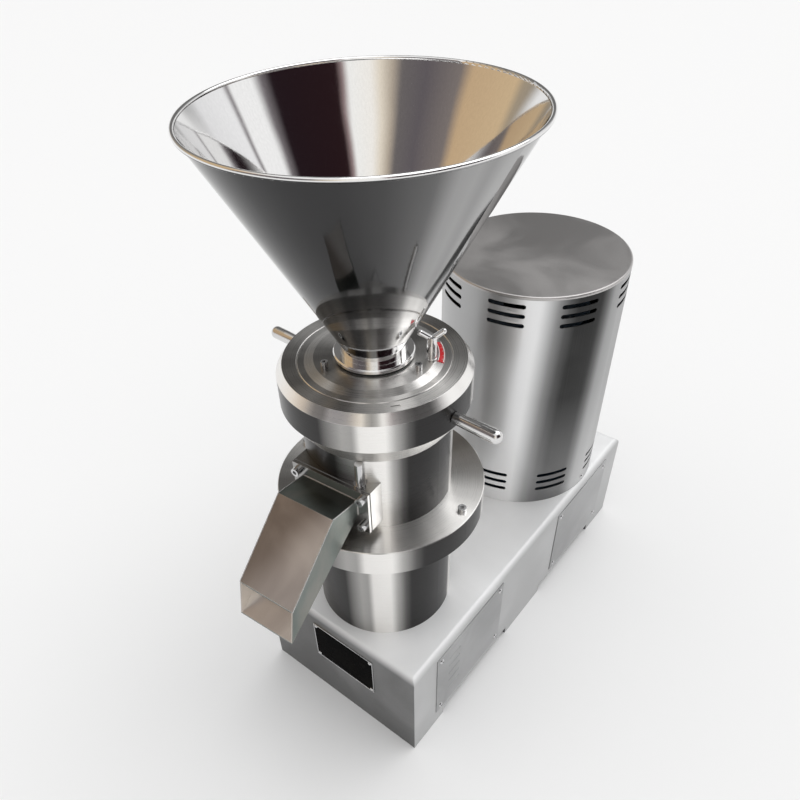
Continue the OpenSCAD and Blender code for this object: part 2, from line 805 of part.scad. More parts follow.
module hopper_collar() color("#d4d6d8") at_mill() {
    inner = feed_r - 2.5;
    neck_in = hopper_neck_r - hopper_t;
    rotate_extrude() polygon([
        [inner, disc_top - spigot_h], [feed_r, disc_top - spigot_h], [feed_r, collar_z], [collar_r - 1, collar_z],
        [collar_r, collar_z + 1], [collar_r, collar_z + collar_t - 1.5], [collar_r - 1.5, collar_z + collar_t],
        [hopper_neck_r, collar_z + collar_t], [hopper_neck_r, cone_z], [neck_in, cone_z],
        [neck_in, collar_z + 2], [inner, collar_z - 3]]);
}

module hopper() color("#dcdee0") at_mill() {
    bead_z = rim_z - rim_r;
    rotate_extrude() {
        polygon([[hopper_neck_r - hopper_t, cone_z], [hopper_neck_r, cone_z], [hopper_r, bead_z],
            [hopper_r - hopper_t, bead_z]]);
        translate([hopper_r, bead_z]) circle(rim_r);
    }
}

// Lock

module lock_screw() color("#d4d6d8") at_mill() lock_place() {
    translate([0, 0, -10]) cylinder(r = 4, h = 12);
    translate([0, 0, turn_gap]) cylinder(r = lock_r + 0.75, h = 2);
    translate([0, 0, turn_gap]) cylinder(r = lock_r, h = lock_h);
}

module lock_wings() color("#dcdee0") at_mill() lock_place() {
    translate([0, 0, lock_h + turn_gap]) {
        cylinder(r = lock_r, h = 4);
        for (a = [0, 180])
            rotate([0, 0, 16 + a]) rotate([0, wing_lean, 0]) difference() {
                union() {
                    cylinder(r = wing_r, h = wing_l);
                    translate([0, 0, wing_l]) sphere(wing_r);
                }
                rotate([0, -wing_lean, 0]) translate([0, 0, -10]) cylinder(r = 20, h = 10);
            }
    }
}

// Belts and motor

// outline of a belt lying on circles of the two given radii
module belt_outline(r_motor, r_mill) {
    lean = (r_mill - r_motor) / axis_gap;
    n = [sqrt(1 - lean * lean), lean];
    m = [-n[0], n[1]];
    a = [0, motor_y];
    b = [0, mill_y];
    translate(a) circle(r_motor);
    translate(b) circle(r_mill);
    polygon([a + r_motor * n, b + r_mill * n, b + r_mill * m, a + r_motor * m]);
}

module belts() color("#1b1b1c") {
    side_gap = belt_gap;
    r_motor = drive_r - groove_depth + belt_gap;
    r_mill = driven_r - groove_depth + belt_gap;
    for (i = [0 : belt_count - 1])
        translate([0, 0, pulley_z + 5 + i * belt_pitch + side_gap]) linear_extrude(belt_w - 2 * side_gap) difference() {
            belt_outline(r_motor + belt_t, r_mill + belt_t);
            belt_outline(r_motor, r_mill);
        }
}

module motor_flange() color("#5a6f86") at_motor() {
    difference() {
        tube(motor_flange_r, motor_shaft_r + run_gap, base_h, motor_z);
        ring_of(4, motor_flange_r - 14, 45) translate([0, 0, base_h - eps]) cylinder(r = cap_shank, h = 40);
    }
}

module motor_frame() color("#5a6f86") at_motor() {
    difference() {
        union() {
            translate([0, 0, motor_z]) cylinder(r = motor_r, h = motor_h);
            for (i = [0 : 35])
                rotate([0, 0, i * 10]) translate([motor_r - 1, -1.5, motor_z + 12])
                    cube([fin_h + 1, 3, motor_h - 24]);
        }
        translate([0, 0, motor_z - eps]) cylinder(r = motor_shaft_r + run_gap, h = motor_h + 2 * eps);
        terminal_place() cube([2 * box_d, box_w, box_w]);
    }
}

module terminal_place() rotate([0, 0, 90]) translate([motor_r - 6, -box_w / 2, motor_z + motor_h * 0.37]) children();

module terminal_box() color("#4f6276") at_motor() {
    terminal_place() cube([box_d, box_w, box_w]);
}

module fan_cowl() color("#4f6276") at_motor() {
    difference() {
        tube(motor_r, motor_shaft_r + 30, motor_top, motor_top + cowl_h);
        translate([0, 0, motor_top - eps]) cylinder(r = motor_r - 2, h = cowl_h - 2 + eps);
    }
}

module motor_bolts() color("#5c5f63") at_motor() {
    ring_of(4, motor_flange_r - 14, 45) translate([0, 0, motor_z])
        cap_screw(cap_r, cap_h, cap_shank, motor_flange_t + base_t + deck_t);
}

module motor_shaft() color("#8f9296") at_motor() {
    translate([0, 0, pulley_z]) cylinder(r = motor_shaft_r, h = motor_top + 34 - pulley_z);
}

module drive_pulley() color("#4b4e52") at_motor() translate([0, 0, pulley_z]) pulley(drive_r, motor_shaft_r);

module drive_washer() color("#8f9296") at_motor() pulley_washer(motor_shaft_r + 6);

module motor_fan() color("#2c2f33") at_motor() {
    translate([0, 0, motor_top + 12]) difference() {
        union() {
            cylinder(r = motor_shaft_r + 10, h = fan_h);
            cylinder(r = motor_r - 12, h = 4);
            for (i = [0 : 7])
                rotate([0, 0, i * 45]) translate([motor_shaft_r + 8, -1.5, 0]) cube([motor_r - motor_shaft_r - 22, 3, fan_h]);
        }
        translate([0, 0, -eps]) cylinder(r = motor_shaft_r, h = 22 + eps);
    }
}

// one round-ended slot through the cover wall, facing +x
module cover_slot() {
    half = cover_r * sin(slot_span / 2) - slot_h / 2;
    translate([cover_r - 8, 0, 0]) rotate([0, 90, 0]) {
        translate([-slot_h / 2, -half, 0]) cube([slot_h, 2 * half, 20]);
        for (s = [-1, 1])
            translate([0, s * half, 0]) cylinder(r = slot_h / 2, h = 20);
    }
}

module cover_wall() color("#b4b7b9") at_motor() {
    difference() {
        tube(cover_r, cover_r - cover_t, base_h, cover_top - lid_h);
        for (g = [0 : 7], z = [cover_top - slot_top, base_h + slot_foot], k = [-1, 0, 1])
            rotate([0, 0, -120.1 + g * slot_step]) translate([0, 0, z + k * slot_pitch]) cover_slot();
        ring_of(4, cover_r - 8, -1.9) translate([0, 0, base_h + 12]) rotate([0, 90, 0]) cylinder(r = 2.6, h = 20);
    }
}

module cover_lid() color("#b0b3b5") at_motor() {
    rotate_extrude() {
        difference() {
            union() {
                translate([0, cover_top - lid_h]) square([cover_r, lid_h - lid_r]);
                translate([0, cover_top - lid_r]) square([cover_r - lid_r, lid_r]);
                translate([cover_r - lid_r, cover_top - lid_r]) intersection() {
                    circle(lid_r);
                    square(lid_r);
                }
            }
            translate([0, cover_top - lid_h - 1]) square([cover_r - cover_t - 2, lid_h - 1]);
        }
    }
}

module cover_screws() color("#d8dadb") at_motor() {
    ring_of(4, cover_r, -1.9) translate([0, 0, base_h + 12]) rotate([0, 90, 0]) {
        dome(4.6, 2.8);
        translate([0, 0, -8]) cylinder(r = 2.4, h = 8);
    }
}

base_shell();
base_deck();
panel_front_right();
panel_front_left();
panel_rear_right();
panel_rear_left();
panel_screws();
front_plate();
plate_rivets();
cable_gland();
bearing_housing();
housing_bolts();
lower_bearing();
upper_bearing();
flange_disc();
flange_screws();
shaft_seal();
mill_body();
outlet_block();
chute_plate();
chute();
chute_screws();
stop_stud();
stud_washer();
mill_shaft();
rotor();
rotor_nut();
driven_pulley();
driven_washer();
adjusting_ring();
handle_right();
handle_left();
feed_disc();
stator();
disc_screws();
scale_strip();
hopper_seal();
hopper_collar();
hopper();
lock_screw();
lock_wings();
belts();
motor_flange();
motor_frame();
terminal_box();
fan_cowl();
motor_bolts();
motor_shaft();
drive_pulley();
drive_washer();
motor_fan();
cover_wall();
cover_lid();
cover_screws();
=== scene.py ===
from math import atan2, pi, radians

import bmesh
import bpy
from mathutils import Matrix, Vector


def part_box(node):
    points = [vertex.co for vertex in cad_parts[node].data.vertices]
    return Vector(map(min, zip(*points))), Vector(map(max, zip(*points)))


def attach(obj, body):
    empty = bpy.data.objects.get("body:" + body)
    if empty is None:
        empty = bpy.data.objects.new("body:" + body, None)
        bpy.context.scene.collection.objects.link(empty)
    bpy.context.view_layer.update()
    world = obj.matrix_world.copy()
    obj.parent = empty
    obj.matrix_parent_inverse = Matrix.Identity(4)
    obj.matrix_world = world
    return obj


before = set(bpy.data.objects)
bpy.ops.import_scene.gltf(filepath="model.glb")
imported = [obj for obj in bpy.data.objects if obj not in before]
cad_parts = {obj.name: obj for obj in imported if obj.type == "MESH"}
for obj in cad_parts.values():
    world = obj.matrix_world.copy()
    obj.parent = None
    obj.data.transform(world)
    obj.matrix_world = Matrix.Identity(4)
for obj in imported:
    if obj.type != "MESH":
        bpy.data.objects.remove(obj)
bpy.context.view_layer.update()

# Base shell and deck: a box folded from 3 mm stainless sheet, welded at the corners and blasted with fine
# beads. Painted light and shade by face: the top is painted lightest, left and right mid, the ends darkest.
# It stands on two folded lips, and a thick deck plate stiffens its top.


def node(tree, kind, inputs, **settings):
    """Adds a shader node; an input is a value or a socket to link."""
    made = tree.nodes.new("ShaderNode" + kind)
    for key, value in settings.items():
        setattr(made, key, value)
    for key, value in inputs.items():
        if isinstance(value, bpy.types.NodeSocket):
            tree.links.new(value, made.inputs[key])
        else:
            made.inputs[key].default_value = value
    return made


def reckon(tree, operation, *values):
    """Works out a value from numbers or sockets."""
    return node(tree, "Math", dict(enumerate(values)), operation=operation).outputs[0]


def vectors(tree, operation, *values):
    """Works out a Vector, or a Value, from vectors."""
    return node(tree, "VectorMath", dict(enumerate(values)), operation=operation).outputs


def split(tree, vector):
    """The X, Y and Z of a vector."""
    return node(tree, "SeparateXYZ", {0: vector}).outputs


def spread(tree, value, low, high, start=0.0, end=1.0):
    """Carries a value evenly from the span low to high over to the span start to end."""
    return node(tree, "MapRange", {0: value, 1: low, 2: high, 3: start, 4: end}).outputs[0]


def ease(tree, value, low, high, start=0.0, end=1.0):
    """Carries a value over as spread does, but gently at both ends."""
    spans = {0: value, 1: low, 2: high, 3: start, 4: end}
    return node(tree, "MapRange", spans, interpolation_type="SMOOTHSTEP").outputs[0]


def surface(tree):
    """Where a point of the surface lies and which way it faces, along the machine's own axes."""
    return node(tree, "TexCoord", {}).outputs


def effect(name, inputs, outputs):
    """Starts a shader node group and gives back its tree, its input sockets and its output sockets."""
    tree = bpy.data.node_groups.new(name, "ShaderNodeTree")
    for label, start in inputs.items():
        kind = "NodeSocketVector" if isinstance(start, tuple) else "NodeSocketFloat"
        tree.interface.new_socket(label, in_out="INPUT", socket_type=kind).default_value = start
    for label in outputs:
        tree.interface.new_socket(label, in_out="OUTPUT", socket_type="NodeSocketFloat")
    return tree, tree.nodes.new("NodeGroupInput").outputs, tree.nodes.new("NodeGroupOutput").inputs


def use(tree, group, inputs):
    """Places a node group in a material."""
    return node(tree, "Group", inputs, node_tree=group).outputs


def grain_effect():
    """Noise stretched along the axes: its tone and height for beads, brushing or moulded texture."""
    tree, given, result = effect("grain", {"Stretch": (1.0, 1.0, 1.0), "Detail": 3.0}, ["Tone"])
    stretched = vectors(tree, "MULTIPLY", surface(tree)["Object"], given["Stretch"])["Vector"]
    noise = node(tree, "TexNoise", {"Vector": stretched, "Scale": 1.0, "Detail": given["Detail"]})
    tree.links.new(noise.outputs["Fac"], result["Tone"])
    return tree


def marks_effect():
    """Soft cloudy patches left by wiping and handling, with a few finer smears in them."""
    tree, given, result = effect("handling marks", {"Size": 8.0}, ["Tone"])
    smears = {"Vector": surface(tree)["Object"], "Scale": given["Size"], "Detail": 5.0, "Distortion": 0.6}
    clouds = node(tree, "TexNoise", smears).outputs["Fac"]
    tree.links.new(ease(tree, clouds, 0.35, 0.7), result["Tone"])
    return tree


def painted_facing_effect():
    """Painted light and shade: a tone of its own for the faces across each axis, blended over rounded edges.
    """
    tree, given, result = effect("painted_facing", {"Tones": (1.0, 1.0, 1.0)}, ["Tone"])
    normal = surface(tree)["Normal"]
    shares = vectors(tree, "MULTIPLY", normal, normal)["Vector"]
    tree.links.new(vectors(tree, "DOT_PRODUCT", shares, given["Tones"])["Value"], result["Tone"])
    return tree


grain = grain_effect()
marks = marks_effect()
painted_facing = painted_facing_effect()


def grained(tree, stretch, detail):
    """The tone of the grain, with its count of grains to the metre along each axis."""
    return use(tree, grain, {"Stretch": stretch, "Detail": detail})["Tone"]


def wiping(tree, size):
    """The tone of the handling marks; a larger size number makes smaller patches."""
    return use(tree, marks, {"Size": size})["Tone"]


def blank(name, metallic):
    """A new material, its node tree and its shader's sockets."""
    made = bpy.data.materials.new(name)
    made.use_nodes = True
    shader = made.node_tree.nodes["Principled BSDF"].inputs
    shader["Metallic"].default_value = metallic
    return made, made.node_tree, shader


def blend_tones(tree, first, second, share):
    """Mixes two tones, with the second one's share of the whole."""
    return node(tree, "Mix", {0: share, 2: first, 3: second}, data_type="FLOAT").outputs[0]


def paint(tree, shader, tone, dark, light, between=()):
    """Colours the surface from dark to light along a tone, by way of the colours between them."""
    ramp = node(tree, "ValToRGB", {0: tone})
    ramp.color_ramp.elements[0].color = (*dark, 1)
    ramp.color_ramp.elements[1].color = (*light, 1)
    for stop, color in between:
        ramp.color_ramp.elements.new(stop).color = (*color, 1)
    tree.links.new(ramp.outputs[0], shader["Base Color"])


def gloss(tree, shader, tone, low, high):
    """Varies the roughness along a tone."""
    tree.links.new(spread(tree, tone, 0.0, 1.0, low, high), shader["Roughness"])


def relief(tree, shader, height, depth, edge=0.0006):
    """Raises the surface by a height and softens its sharp edges."""
    softened = node(tree, "Bevel", {"Radius": edge}, samples=4).outputs[0]
    raised = {"Strength": 0.6, "Distance": depth, "Height": height, "Normal": softened}
    tree.links.new(node(tree, "Bump", raised).outputs[0], shader["Normal"])


def dress(material, *names):
    """Gives CAD nodes their material."""
    for name in names:
        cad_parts[name].data.materials.clear()
        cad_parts[name].data.materials.append(material)


def blasted_steel():
    bead_size = 0.0011
    material, tree, shader = blank("blasted steel", metallic=0.2)
    beads = grained(tree, (1 / bead_size,) * 3, detail=2.0)
    wiped = wiping(tree, size=5.0)
    # Painted light and shade: a tone for each way a face looks, light on top and dark on the ends.
    blasted_and_painted_shade = use(tree, painted_facing, {"Tones": (0.48, 0.07, 1.0)})["Tone"]
    tone = blend_tones(tree, blend_tones(tree, blasted_and_painted_shade, wiped, share=0.1), beads, share=0.05)
    paint(tree, shader, tone, dark=(0.02, 0.0195, 0.019), light=(0.95, 0.955, 0.96))
    gloss(tree, shader, wiped, low=0.43, high=0.52)
    relief(tree, shader, beads, depth=0.00006, edge=0.003)
    return material


def rolled_plate():
    material, tree, shader = blank("rolled plate", metallic=1.0)
    scale = grained(tree, (260.0, 40.0, 260.0), detail=4.0)
    paint(tree, shader, scale, dark=(0.14, 0.142, 0.145), light=(0.3, 0.302, 0.305))
    gloss(tree, shader, scale, low=0.42, high=0.58)
    relief(tree, shader, scale, depth=0.0001)
    return material


dress(blasted_steel(), "base_shell")
dress(rolled_plate(), "base_deck")

# Side panels: thin satin sheet lids screwed over the windows of the base with cross head screws.
# The front pair have five louvres pressed inwards that let the belts' heat out.


def satin_sheet():
    inside_x = 0.1525
    outside_x = 0.1535
    material, tree, shader = blank("satin sheet", metallic=1.0)
    brushing = grained(tree, (1500.0, 9.0, 1500.0), detail=3.0)
    wiped = wiping(tree, size=9.0)
    # Painted shade: the louvres' slots and lips and the panel's inner faces, inside its outside face, are
    # painted down towards black.
    across = reckon(tree, "ABSOLUTE", split(tree, surface(tree)["Object"])["X"])
    painted_shading = spread(tree, across, inside_x, outside_x)
    tone = reckon(tree, "MULTIPLY", blend_tones(tree, brushing, wiped, share=0.6), painted_shading)
    shaded = [(0.08, (0.3, 0.302, 0.305))]
    paint(tree, shader, tone, dark=(0.02, 0.02, 0.0205), light=(0.5, 0.502, 0.505), between=shaded)
    gloss(tree, shader, wiped, low=0.3, high=0.4)
    relief(tree, shader, brushing, depth=0.00003)
    return material


def bright_fastener():
    material, tree, shader = blank("bright fastener", metallic=1.0)
    wear = grained(tree, (900.0, 900.0, 900.0), detail=3.0)
    paint(tree, shader, wear, dark=(0.42, 0.42, 0.425), light=(0.82, 0.825, 0.83))
    gloss(tree, shader, wear, low=0.1, high=0.26)
    relief(tree, shader, wear, depth=0.00003, edge=0.0004)
    return material


fastener_steel = bright_fastener()
dress(satin_sheet(), "panel_front_right", "panel_front_left", "panel_rear_right", "panel_rear_left")
dress(
    fastener_steel, "panel_screws", "plate_rivets", "flange_screws", "chute_screws", "disc_screws",
    "cover_screws", "stop_stud", "stud_washer",
)

# Front plate: a black enamelled sheet in a thin bright frame, held by four rivets and left bare.
# The cable gland at the back is moulded plastic, closed by its plug.


def black_enamel():
    material, tree, shader = blank("black enamel", metallic=0.0)
    orange_peel = grained(tree, (420.0, 420.0, 420.0), detail=1.0)
    wiped = wiping(tree, size=16.0)
    paint(tree, shader, wiped, dark=(0.002, 0.002, 0.0022), light=(0.006, 0.0055, 0.005))
    gloss(tree, shader, wiped, low=0.22, high=0.36)
    relief(tree, shader, orange_peel, depth=0.00005)
    shader["Specular IOR Level"].default_value = 0.004
    return material


def moulded_plastic(name, dark, light):
    material, tree, shader = blank(name, metallic=0.0)
    spark = grained(tree, (1300.0, 1300.0, 1300.0), detail=2.0)
    paint(tree, shader, spark, dark, light)
    gloss(tree, shader, spark, low=0.42, high=0.6)
    relief(tree, shader, spark, depth=0.00005)
    return material


def sheet_block(name, size):
    """A block of a given size round the origin, to be shaped further."""
    bpy.ops.object.select_all(action="DESELECT")
    bpy.ops.mesh.primitive_cube_add(size=1)
    piece = bpy.context.object
    piece.name = name
    piece.scale = size
    bpy.ops.object.transform_apply(location=False, rotation=False, scale=True)
    return piece


def open_frame(name, size, border):
    """A flat frame round the origin: a thin block with its middle taken out along y."""
    piece = sheet_block(name, size)
    bpy.ops.object.mode_set(mode="EDIT")
    bpy.ops.mesh.select_mode(type="FACE")
    bpy.ops.mesh.select_all(action="DESELECT")
    shape = bmesh.from_edit_mesh(piece.data)
    for face in shape.faces:
        face.select = abs(face.normal.y) > 0.9
    bmesh.update_edit_mesh(piece.data)
    bpy.ops.mesh.inset(thickness=border)
    bpy.ops.mesh.bridge_edge_loops()
    bpy.ops.object.mode_set(mode="OBJECT")
    return piece


def finish_piece(piece, place, material, body, rounding):
    """Rounds a new piece's edges, sets it in place and lets it ride on its body."""
    bpy.context.view_layer.objects.active = piece
    bevel = piece.modifiers.new("rounding", "BEVEL")
    bevel.width = rounding
    bevel.segments = 2
    bpy.ops.object.modifier_apply(modifier=bevel.name)
    piece.matrix_world = place
    bpy.ops.object.transform_apply(location=True, rotation=True, scale=True)
    bpy.ops.object.shade_smooth_by_angle(angle=radians(35))
    piece.data.materials.append(material)
    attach(piece, body)


dress(black_enamel(), "front_plate")
gland_plastic = moulded_plastic("gland plastic", dark=(0.012, 0.012, 0.013), light=(0.03, 0.03, 0.032))
dress(gland_plastic, "cable_gland")
bezel_w = 0.0015
bezel_t = 0.0018
plate_low, plate_high = (Vector(corner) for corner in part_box("front_plate"))
plate_size = plate_high - plate_low
bezel = open_frame("plate_bezel", (plate_size.x + bezel_w, bezel_t, plate_size.z + bezel_w), bezel_w)
bezel_centre = (plate_low + plate_high) / 2
bezel_centre.y = plate_high.y - bezel_t / 2
finish_piece(bezel, Matrix.Translation(bezel_centre), fastener_steel, "frame", rounding=0.0003)

# Milling head: housing, flange, body, adjusting ring and feed disc are turned from stainless bar. The tool
# leaves fine lines round the mill's axis. Painted reflections make upright bands on the round walls and
# bevels, and painted highlights make fans on the flat faces; their tones go by the angle in degrees from the
# front right.

mill = Vector((0.0, -0.15732, 0.0))
front_turn = (48.4 + 180) / 360
# Painted reflection tones for the round walls, painted highlight tones for the flat faces and painted
# reflection tones for the bevels, by angle.
painted_wall_reflections = [
    (-180, 0.3), (-165, 0.5), (-152, 0.45), (-140, 0.12), (-118, 0.09), (-108, 0.4), (-97, 0.45),
    (-86, 0.14), (-60, 0.02), (-35, 0.03), (-30, 0.2), (-21, 0.45), (-15, 0.4), (-11, 0.95), (3, 1.0),
    (8, 0.5), (15, 0.12), (20, 0.02), (58, 0.01), (66, 0.06), (70, 0.75), (78, 0.85), (90, 0.35),
    (105, 0.12), (122, 0.5), (136, 0.62), (148, 0.15), (162, 0.1), (180, 0.3),
]
painted_top_glints = [
    (-180, 0.3), (-150, 0.4), (-135, 0.6), (-122, 0.5), (-108, 0.32), (-62, 0.33), (-52, 0.5),
    (-46, 0.62), (-38, 0.45), (-24, 0.6), (-14, 0.95), (-6, 0.8), (4, 1.0), (14, 1.0), (20, 0.85),
    (34, 0.9), (48, 1.0), (62, 0.85), (84, 0.5), (100, 0.5), (112, 0.32), (150, 0.3), (180, 0.3),
]
painted_bevel_reflections = [
    (-180, 0.6), (-120, 0.7), (-90, 0.95), (-56, 0.98), (-44, 0.75), (-38, 0.45), (-32, 0.45),
    (-28, 0.95), (-10, 0.98), (-7, 0.5), (-4, 0.32), (-1, 0.5), (2, 0.98), (10, 0.98), (15, 0.5),
    (20, 0.26), (30, 0.26), (37, 0.9), (60, 0.98), (100, 0.9), (130, 0.6), (180, 0.6),
]


def lines_effect():
    """Fine tool lines round an upright axis through Centre, and painted highlight fans by the angle round it
    for flat faces.
    """
    inputs = {"Centre": (0.0, 0.0, 0.0), "Pitch": 0.0008}
    tree, given, result = effect("tool lines", inputs, ["Tone", "Painted glint"])
    apart = vectors(tree, "SUBTRACT", surface(tree)["Object"], given["Centre"])["Vector"]
    flat = vectors(tree, "MULTIPLY", apart, (1.0, 1.0, 0.0))["Vector"]
    reach = vectors(tree, "LENGTH", flat)["Value"]
    across = node(tree, "CombineXYZ", {0: reach, 1: split(tree, apart)["Z"]}).outputs[0]
    count = reckon(tree, "DIVIDE", 1.0, given["Pitch"])
    fine = node(tree, "VectorMath", {0: across, "Scale": count}, operation="SCALE").outputs["Vector"]
    noise = node(tree, "TexNoise", {"Vector": fine, "Scale": 1.0, "Detail": 2.0}, noise_dimensions="2D")
    tree.links.new(noise.outputs["Fac"], result["Tone"])
    outward = vectors(tree, "NORMALIZE", flat)["Vector"]
    # Painted highlight: fans of light and dark by the angle round the axis.
    spokes = node(tree, "TexNoise", {"Vector": outward, "Scale": 2.6, "Detail": 2.5}, noise_dimensions="2D")
    tree.links.new(ease(tree, spokes.outputs["Fac"], 0.33, 0.67), result["Painted glint"])
    return tree


def turns_round(tree, apart, start):
    """How many turns a point lies round the upright axis, counted on from start."""
    angle = reckon(tree, "ARCTAN2", apart["Y"], apart["X"])
    return reckon(tree, "MULTIPLY_ADD", angle, 1 / (2 * pi), start)


def fill_ramp(ramp, stops):
    """Sets a colour ramp's stops, given by angle in degrees from -180 to 180."""
    elements = ramp.color_ramp.elements
    while len(elements) < len(stops):
        elements.new(1.0)
    for element, (angle, color) in zip(elements, stops):
        element.position = (angle + 180) / 360
        element.color = (*color, 1)


def bands_effect(name, tones):
    """Painted reflection tones by the angle round an upright axis through Centre, and masks for faces that
    rise by Lean and for bevels.
    """
    inputs = {"Centre": (0.0, 0.0, 0.0), "Turn": 0.0, "Lean": 0.0}
    tree, given, result = effect(name, inputs, ["Tone", "Mask", "Bevel"])
    point = surface(tree)
    apart = split(tree, vectors(tree, "SUBTRACT", point["Object"], given["Centre"])["Vector"])
    ramp = node(tree, "ValToRGB", {0: reckon(tree, "FRACT", turns_round(tree, apart, given["Turn"]))})
    fill_ramp(ramp, [(angle, (tone,) * 3) for angle, tone in tones])
    tree.links.new(ramp.outputs[0], result["Tone"])
    rise = split(tree, point["Normal"])["Z"]
    off = reckon(tree, "ABSOLUTE", reckon(tree, "SUBTRACT", rise, given["Lean"]))
    tree.links.new(ease(tree, off, 0.25, 0.45, 1.0, 0.0), result["Mask"])
    above_walls = ease(tree, rise, 0.25, 0.4)
    below_tops = ease(tree, rise, 0.985, 0.95)
    tree.links.new(reckon(tree, "MULTIPLY", above_walls, below_tops), result["Bevel"])
    return tree


tool_lines = lines_effect()
wall_reflections = bands_effect("painted wall reflections", painted_wall_reflections)
top_glints = bands_effect("painted top glints", painted_top_glints)
bevel_reflections = bands_effect("painted bevel reflections", painted_bevel_reflections)


def turned_steel(name, centre, dark, light, painted_reflection_share=0.98):
    material, tree, shader = blank(name, metallic=1.0)
    tooled = use(tree, tool_lines, {"Centre": centre, "Pitch": 0.0004})
    round_axis = {"Centre": centre, "Turn": front_turn}
    # Painted reflections and highlights: bands on walls and bevels, fans on flat faces, laid over the tool
    # lines.
    painted_wall_tone = use(tree, wall_reflections, round_axis)
    painted_face_light = blend_tones(tree, tooled["Painted glint"], use(tree, top_glints, round_axis)["Tone"], share=0.88)
    bevel_reflection = use(tree, bevel_reflections, round_axis)["Tone"]
    chamfered = blend_tones(tree, painted_face_light, bevel_reflection, share=painted_wall_tone["Bevel"])
    painted_reflection = blend_tones(tree, chamfered, painted_wall_tone["Tone"], share=painted_wall_tone["Mask"])
    paint(tree, shader, blend_tones(tree, tooled["Tone"], painted_reflection, share=painted_reflection_share), dark, light)
    gloss(tree, shader, tooled["Tone"], low=0.24, high=0.34)
    relief(tree, shader, tooled["Tone"], depth=0.000005, edge=0.0008)
    shader["Anisotropic"].default_value = 0.8
    shader["Anisotropic Rotation"].default_value = 0.25
    tangent = node(tree, "Tangent", {}, direction_type="RADIAL", axis="Z")
    tree.links.new(tangent.outputs[0], shader["Tangent"])
    return material


dress(
    turned_steel("turned steel", mill, dark=(0.012, 0.0115, 0.0125), light=(0.97, 0.955, 0.93)),
    "bearing_housing", "flange_disc", "mill_body", "adjusting_ring", "feed_disc",
)
dress(
    turned_steel("ground steel", mill, dark=(0.2, 0.2, 0.205), light=(0.6, 0.605, 0.61), painted_reflection_share=0.5),
    "lower_bearing", "upper_bearing", "mill_shaft", "rotor", "rotor_nut", "stator",
)
carbon_face = moulded_plastic("carbon face", dark=(0.02, 0.019, 0.018), light=(0.05, 0.047, 0.045))
dress(carbon_face, "shaft_seal")

# Outlet and chute: a milled block on the body, a flange plate, and a duct folded from satin sheet that leads
# the product down. Four cap screws hold the plate, a fibre gasket seals it, and a weld bead runs round the
# duct's root. Thin bright beads along its upper edges stand in for the highlight on the folds: a painted
# highlight.

outlet_turn = radians(3.9)
outlet_front = 0.105
outlet_z = 0.486
plate_t = 0.005
gasket_size = (0.1222, 0.0011, 0.0692)
gasket_border = 0.008
chute_half = 0.0435
roof_z = 0.504
floor_z = 0.478
roof_bend = Vector((0.159, 0.512))
roof_end = Vector((0.250, 0.430))
bead_r = 0.0013
highlight_bead_r = 0.0007


def folded_sheet():
    down_chute = (8.6, 0.59, -6.1)
    run_start = -3.21
    run_end = -2.74
    material, tree, shader = blank("folded sheet", metallic=1.0)
    brushing = grained(tree, (1500.0, 30.0, 40.0), detail=4.0)
    wiped = wiping(tree, size=11.0)
    point = surface(tree)
    normal = split(tree, point["Normal"])
    # Painted shade: faces that do not slope down the chute are painted dark; sloping faces are painted dark
    # near the outlet and lighter further down.
    sloping = spread(tree, reckon(tree, "MULTIPLY", normal["Y"], normal["Z"]), 0.0, -0.5)
    run = vectors(tree, "DOT_PRODUCT", point["Object"], down_chute)["Value"]
    painted_outlet_shade = ease(tree, run, run_start, run_end, 0.42, 1.0)
    outer = blend_tones(tree, 0.18, painted_outlet_shade, share=sloping)
    # Painted light: the inside of the left wall, seen through the mouth, is painted pale.
    left = spread(tree, split(tree, point["Object"])["X"], 0.02, 0.0)
    inward = spread(tree, normal["X"], 0.4, 0.8)
    painted_wall_light = blend_tones(tree, outer, 0.85, share=reckon(tree, "MULTIPLY", left, inward))
    tone = blend_tones(tree, blend_tones(tree, painted_wall_light, wiped, share=0.12), brushing, share=0.04)
    greys = [(0.22, (0.2, 0.225, 0.21)), (0.42, (0.42, 0.37, 0.33))]
    paint(tree, shader, tone, dark=(0.03, 0.03, 0.028), light=(1.0, 0.965, 0.92), between=greys)
    gloss(tree, shader, wiped, low=0.28, high=0.36)
    relief(tree, shader, brushing, depth=0.00002)
    return material


def milled_steel():
    material, tree, shader = blank("milled block", metallic=1.0)
    milling = grained(tree, (1500.0, 40.0, 40.0), detail=4.0)
    wiped = wiping(tree, size=11.0)
    # Painted light and shade: faces across x are painted light, faces across y and z dark.
    painted_face_light = use(tree, painted_facing, {"Tones": (0.95, 0.32, 0.28)})["Tone"]
    tone = blend_tones(tree, blend_tones(tree, painted_face_light, wiped, share=0.1), milling, share=0.06)
    paint(tree, shader, tone, dark=(0.03, 0.028, 0.026), light=(0.95, 0.945, 0.93))
    gloss(tree, shader, milling, low=0.16, high=0.28)
    relief(tree, shader, milling, depth=0.00002)
    return material


def weld_steel():
    material, tree, shader = blank("weld steel", metallic=1.0)
    ripples = grained(tree, (700.0, 700.0, 700.0), detail=2.0)
    paint(tree, shader, ripples, dark=(0.2, 0.19, 0.18), light=(0.62, 0.6, 0.57))
    gloss(tree, shader, ripples, low=0.22, high=0.48)
    relief(tree, shader, ripples, depth=0.0002)
    return material


